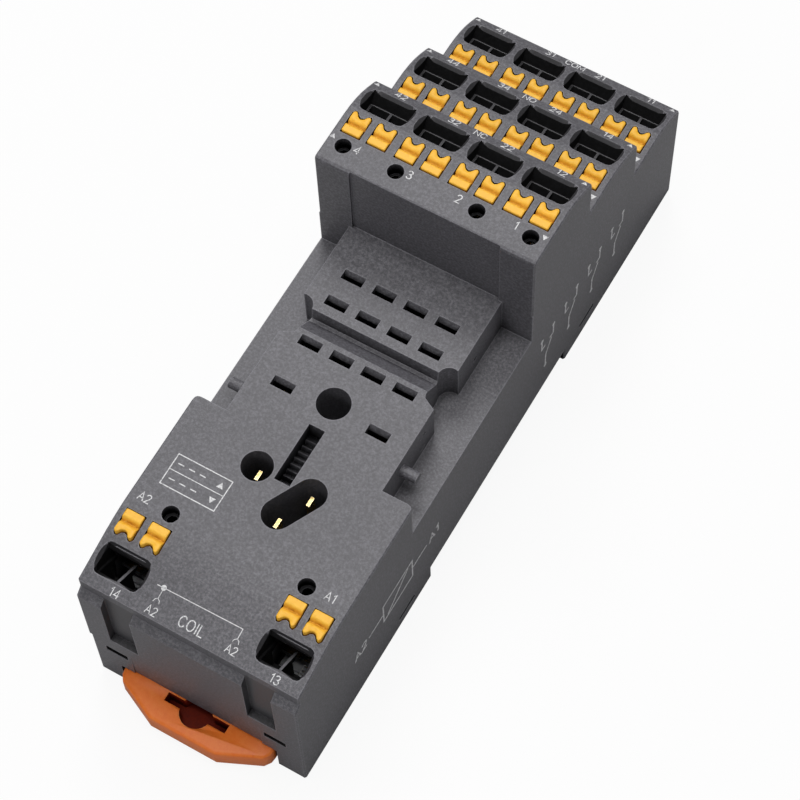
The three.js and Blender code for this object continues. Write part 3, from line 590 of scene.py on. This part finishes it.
def markings():
    bm = bmesh.new()
    deck = on_flat(Z_DECK)
    # two-row box with its arrows on the coil block
    x0, x1, y0, y1 = -12.6, -5.1, -33.0, -28.7
    ribbon(bm, [(x0, y0), (x1, y0), (x1, y1), (x0, y1), (x0, y0)], 0.14, deck)
    ribbon(bm, [(x0 + 0.1, -30.85), (x1 - 0.1, -30.85)], 0.12, deck)
    triangle(bm, (-6.1, -29.8), 0.45, True, deck)
    triangle(bm, (-6.1, -31.95), 0.45, False, deck)
    for k in range(3):
        ribbon(bm, [(-12.0 + k * 1.5, -29.8), (-11.2 + k * 1.5, -29.8)], 0.15, deck)
        ribbon(bm, [(-12.0 + k * 1.5, -31.95), (-11.2 + k * 1.5, -31.95)], 0.15, deck)
    text(bm, "A2", (-13.1, -35.5), 1.1, 0.13, deck)
    text(bm, "A1", (12.4, -35.6), 1.1, 0.13, deck)
    # coil symbol
    c = on_coil
    ribbon(bm, [(-6.3, -43.72), (5.3, -43.55), (5.3, -44.75)], 0.1, c)
    ribbon(bm, [(-5.4, -43.7), (-5.4, -45.0)], 0.09, c)
    disc(bm, (-5.4, -43.7), 0.34, c)
    for x, y in ((-5.4, -45.3), (5.3, -45.05)):
        ribbon(bm, [(x - 0.42, y - 0.3), (x - 0.3, y + 0.05), (x, y + 0.25), (x + 0.3, y + 0.05), (x + 0.42, y - 0.3)], 0.08, c)
    text(bm, "A2", (-5.4, -46.6), 1.0, 0.12, c)
    text(bm, "A2", (5.3, -46.2), 1.0, 0.12, c)
    text(bm, "COIL", (-0.2, -46.0), 1.3, 0.14, c, gap=0.24)
    text(bm, "14", (-10.3, -46.85), 1.05, 0.13, c)
    text(bm, "13", (11.5, -46.75), 1.05, 0.13, c)
    # pole numbers on the NC tier
    top = on_flat(38.3)
    for word, x, y in (("4", -11.0, 11.2), ("3", -3.8, 11.3), ("2", 2.9, 11.3), ("1", 10.6, 11.45)):
        text(bm, word, (x, y), 1.1, 0.14, top)
    # terminal numbers behind the wire pockets, contact names between them
    for (name, rear, z), last, word in zip(TIERS, "241", ("NC", "NO", "COM")):
        f = on_slope(rear, z)
        for i, x in enumerate(COLS):
            text(bm, f"{4 - i}{last}", (x + 0.15, 4.38), 1.1, 0.15, f)
        text(bm, word, (0.1, 4.28), 1.1, 0.15, f)
        flat = on_flat(z)
        triangle(bm, (-14.6, rear - 10.6), 0.38, True, flat)
        triangle(bm, (14.3, rear - 10.6), 0.38, False, flat)
        triangle(bm, (-14.4, 4.5), 0.38, True, f)
        triangle(bm, (14.3, 4.5), 0.38, True, f)
    bmesh.ops.recalc_face_normals(bm, faces=bm.faces)
    obj_from(bm, "printed_markings", M_INK, "socket", 60)

    # connection schematic on the right flank: four change-over contacts and a coil
    bm = bmesh.new()
    f = on_side
    for i in range(4):
        y = 12.0 + i * 6.2
        ribbon(bm, [(y, 6.0), (y, 8.6), (y + 1.4, 11.0)], 0.26, f)
        ribbon(bm, [(y - 1.2, 13.6), (y - 1.2, 11.6), (y - 0.3, 11.6)], 0.26, f)
        ribbon(bm, [(y + 1.8, 13.6), (y + 1.8, 11.6), (y + 0.9, 11.6)], 0.26, f)
        disc(bm, (y, 5.7), 0.36, f, 14)
        disc(bm, (y - 1.2, 13.9), 0.36, f, 14)
        disc(bm, (y + 1.8, 13.9), 0.36, f, 14)
    ribbon(bm, [(-29.0, 6.6), (-22.0, 6.6), (-22.0, 11.2), (-29.0, 11.2), (-29.0, 6.6)], 0.26, f)
    ribbon(bm, [(-28.0, 6.9), (-23.0, 10.9)], 0.26, f)
    ribbon(bm, [(-32.5, 8.9), (-29.2, 8.9)], 0.26, f)
    ribbon(bm, [(-21.8, 8.9), (-18.5, 8.9)], 0.26, f)
    text(bm, "A2", (-34.4, 8.9), 1.9, 0.3, f)
    text(bm, "A1", (-16.6, 8.9), 1.9, 0.3, f)
    bmesh.ops.recalc_face_normals(bm, faces=bm.faces)
    obj_from(bm, "flank_schematic", M_INK, "socket", 60)


# ------------------------------------------------------ carried-over CAD nodes
def skin(y):
    """Height of the housing's skin over y, soft bends included (mm)."""
    if y < Y_COIL_BEND + 2.5:
        drop = max(0.0, (Y_COIL_BEND - y) * math.tan(COIL_ANG))
        d = abs(y - Y_COIL_BEND)
        return Z_DECK - drop - (0.156 * (1 - d / 2.5) ** 2 if d < 2.5 else 0.0)
    for _, rear, top in TIERS:
        if y < rear:
            b = rear - TIER_BEND
            d = abs(y - b)
            return top - max(0.0, (y - b) * TIER_DROP / TIER_BEND) - (0.42 * (1 - d / 2.8) ** 2 if d < 2.8 else 0.0)
    return 0.0


def recess_slots(o):
    """Wire pockets: mouth bands, walls and ribs get painted shade through their own material slots, the coil ribs
    painted light.
    """
    for m in (M_BAND, M_DEEP, M_RIB, M_RIB_COIL):
        o.data.materials.append(m)
    pockets = [(x, rear - 5.8, rear - 0.75, TIER_ANG) for _, rear, _ in TIERS for x in COLS]
    pockets += [(x, -46.3, -41.5, -COIL_ANG) for x in (COLS[0], COLS[3])]
    for p in o.data.polygons:
        c = p.center / MM
        for x, y0, y1, ang in pockets:
            if abs(c.x - x) > 3.42 or not y0 < c.y < y1:
                continue
            depth = skin(c.y) - c.z
            up = p.normal.dot(Vector((0, math.sin(ang), math.cos(ang))))
            # painted shade in the pockets, painted light on the coil ribs, through the material slots
            if depth > 0.12 and not (up > 0.97 and depth < 0.9):
                rib = abs(abs(c.x - x)) < 0.45 and up > 0.6 and depth < 6
                p.material_index = 1 if depth < 0.78 else (2 if not rib and up < 0.75 or depth > 6 else (3 if ang > 0 else 4))
            break


def cad_finish():
    for name, o in NODES.items():
        if name == "housing":
            mat = M_HOUSING
        elif name.startswith("contact_bar_"):
            mat = M_BRASS
        elif name.startswith("clamp_spring_"):
            mat = M_STEEL
        elif name == "bottom_cover":
            mat = M_COVER
        else:
            continue
        o.data.materials.clear()
        o.data.materials.append(mat)
        if name == "housing":
            recess_slots(o)
        if name == "bottom_cover":
            b = o.modifiers.new("edge_rounding", "BEVEL")
            b.width, b.segments, b.limit_method = 0.12 * MM, 2, "ANGLE"
            b.angle_limit = math.radians(30)


buttons()
foot()
foot_spring()
markings()
cad_finish()


# --------------------------------------------------------------- stage, camera
def floor():
    me = bpy.data.meshes.new("floor")
    s, z = 2.0, -2.86 * MM
    me.from_pydata([(-s, -s, z), (s, -s, z), (s, s, z), (-s, s, z)], [], [(0, 1, 2, 3)])
    o = bpy.data.objects.new("floor", me)
    bpy.context.scene.collection.objects.link(o)
    m = bpy.data.materials.new("floor_paper")
    m.use_nodes = True
    t = m.node_tree
    t.nodes.clear()
    out = t.nodes.new("ShaderNodeOutputMaterial")
    dif = t.nodes.new("ShaderNodeBsdfDiffuse")
    dif.inputs["Color"].default_value = (0.55, 0.55, 0.555, 1)
    emi = t.nodes.new("ShaderNodeEmission")
    emi.inputs["Color"].default_value = (1.0, 1.0, 1.0, 1)
    emi.inputs["Strength"].default_value = 1.06
    add = t.nodes.new("ShaderNodeMixShader")
    path = t.nodes.new("ShaderNodeLightPath")
    k = t.nodes.new("ShaderNodeMath")
    k.operation = "MULTIPLY"
    k.inputs[1].default_value = 0.86
    t.links.new(path.outputs["Is Camera Ray"], k.inputs[0])
    t.links.new(k.outputs[0], add.inputs[0])
    t.links.new(dif.outputs[0], add.inputs[1])
    t.links.new(emi.outputs[0], add.inputs[2])
    t.links.new(add.outputs[0], out.inputs["Surface"])
    me.materials.append(m)


def area(name, loc, target, size, power, colour=(1, 1, 1)):
    li = bpy.data.lights.new(name, "AREA")
    li.shape, li.size, li.energy, li.color = "DISK", size, power, colour
    o = bpy.data.objects.new(name, li)
    bpy.context.scene.collection.objects.link(o)
    o.location = loc
    o.rotation_euler = (Vector(target) - Vector(loc)).to_track_quat("-Z", "Y").to_euler()
    return o


def light():
    w = bpy.data.worlds.new("studio")
    w.use_nodes = True
    w.node_tree.nodes["Background"].inputs["Color"].default_value = (1.0, 1.0, 1.0, 1)
    w.node_tree.nodes["Background"].inputs["Strength"].default_value = 0.16
    # seen directly, the surroundings are as pale as the floor
    nodes, links = w.node_tree.nodes, w.node_tree.links
    path, mix, pale = nodes.new("ShaderNodeLightPath"), nodes.new("ShaderNodeMixShader"), nodes.new("ShaderNodeBackground")
    pale.inputs["Color"].default_value = (1.0, 1.0, 1.0, 1)
    pale.inputs["Strength"].default_value = 0.97
    links.new(path.outputs["Is Camera Ray"], mix.inputs[0])
    links.new(nodes["Background"].outputs[0], mix.inputs[1])
    links.new(pale.outputs[0], mix.inputs[2])
    links.new(mix.outputs[0], nodes["World Output"].inputs["Surface"])
    bpy.context.scene.world = w
    area("key", (0.02, -0.02, 0.90), (0, 0, 0.02), 0.50, 3.9, (1.0, 0.995, 0.985))
    area("sheen", (-0.25, 0.40, 0.75), (0, 0, 0.02), 0.34, 2.7)
    area("flank", (0.80, 0.10, 0.40), (0, 0, 0.02), 0.40, 0.10)
    area("front", (-0.10, -0.80, 0.50), (0, 0, 0.02), 0.40, 1.0)


def camera():
    c = bpy.data.cameras.new("camera")
    c.sensor_fit, c.sensor_width, c.lens = "HORIZONTAL", 36.0, 121.64
    c.shift_x, c.shift_y = -0.0004, -0.0006
    c.clip_start, c.clip_end = 0.01, 20.0
    o = bpy.data.objects.new("camera", c)
    bpy.context.scene.collection.objects.link(o)
    right = Vector((0.8653544, 0.50068616, -0.02179742))
    up = Vector((-0.4411712, 0.7816844, 0.44083724))
    back = Vector((0.2377598, -0.37186405, 0.89732235))
    m = Matrix((right, up, back)).transposed().to_4x4()
    m.translation = (0.083425, -0.129684, 0.315050)
    o.matrix_world = m
    bpy.context.scene.camera = o


def tongues():
    """Each twin clamp spring split into its two tongues."""
    for name in sorted(n for n in NODES if n.startswith("clamp_spring_")):
        lo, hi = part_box(name)
        mid = (lo[0] + hi[0]) / 2
        for side, sign in (("left", -1), ("right", 1)):
            bm = clean_copy(name)
            bmesh.ops.bisect_plane(bm, geom=bm.verts[:] + bm.edges[:] + bm.faces[:], dist=1e-7, plane_no=(1, 0, 0),
                                   plane_co=(mid + sign * 0.00002, 0, 0), clear_inner=sign > 0, clear_outer=sign < 0)
            bmesh.ops.holes_fill(bm, edges=[e for e in bm.edges if e.is_boundary], sides=0)
            bmesh.ops.recalc_face_normals(bm, faces=bm.faces)
            t = name[len("clamp_spring_"):]
            o = obj_from(bm, f"clamp_tongue_{t}_{side}", M_STEEL, "socket", 40)
            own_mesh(o)
            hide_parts(name)


tongues()
floor()
light()
camera()
bpy.context.scene.view_settings.view_transform = "Standard"

bpy.context.view_layer.update()
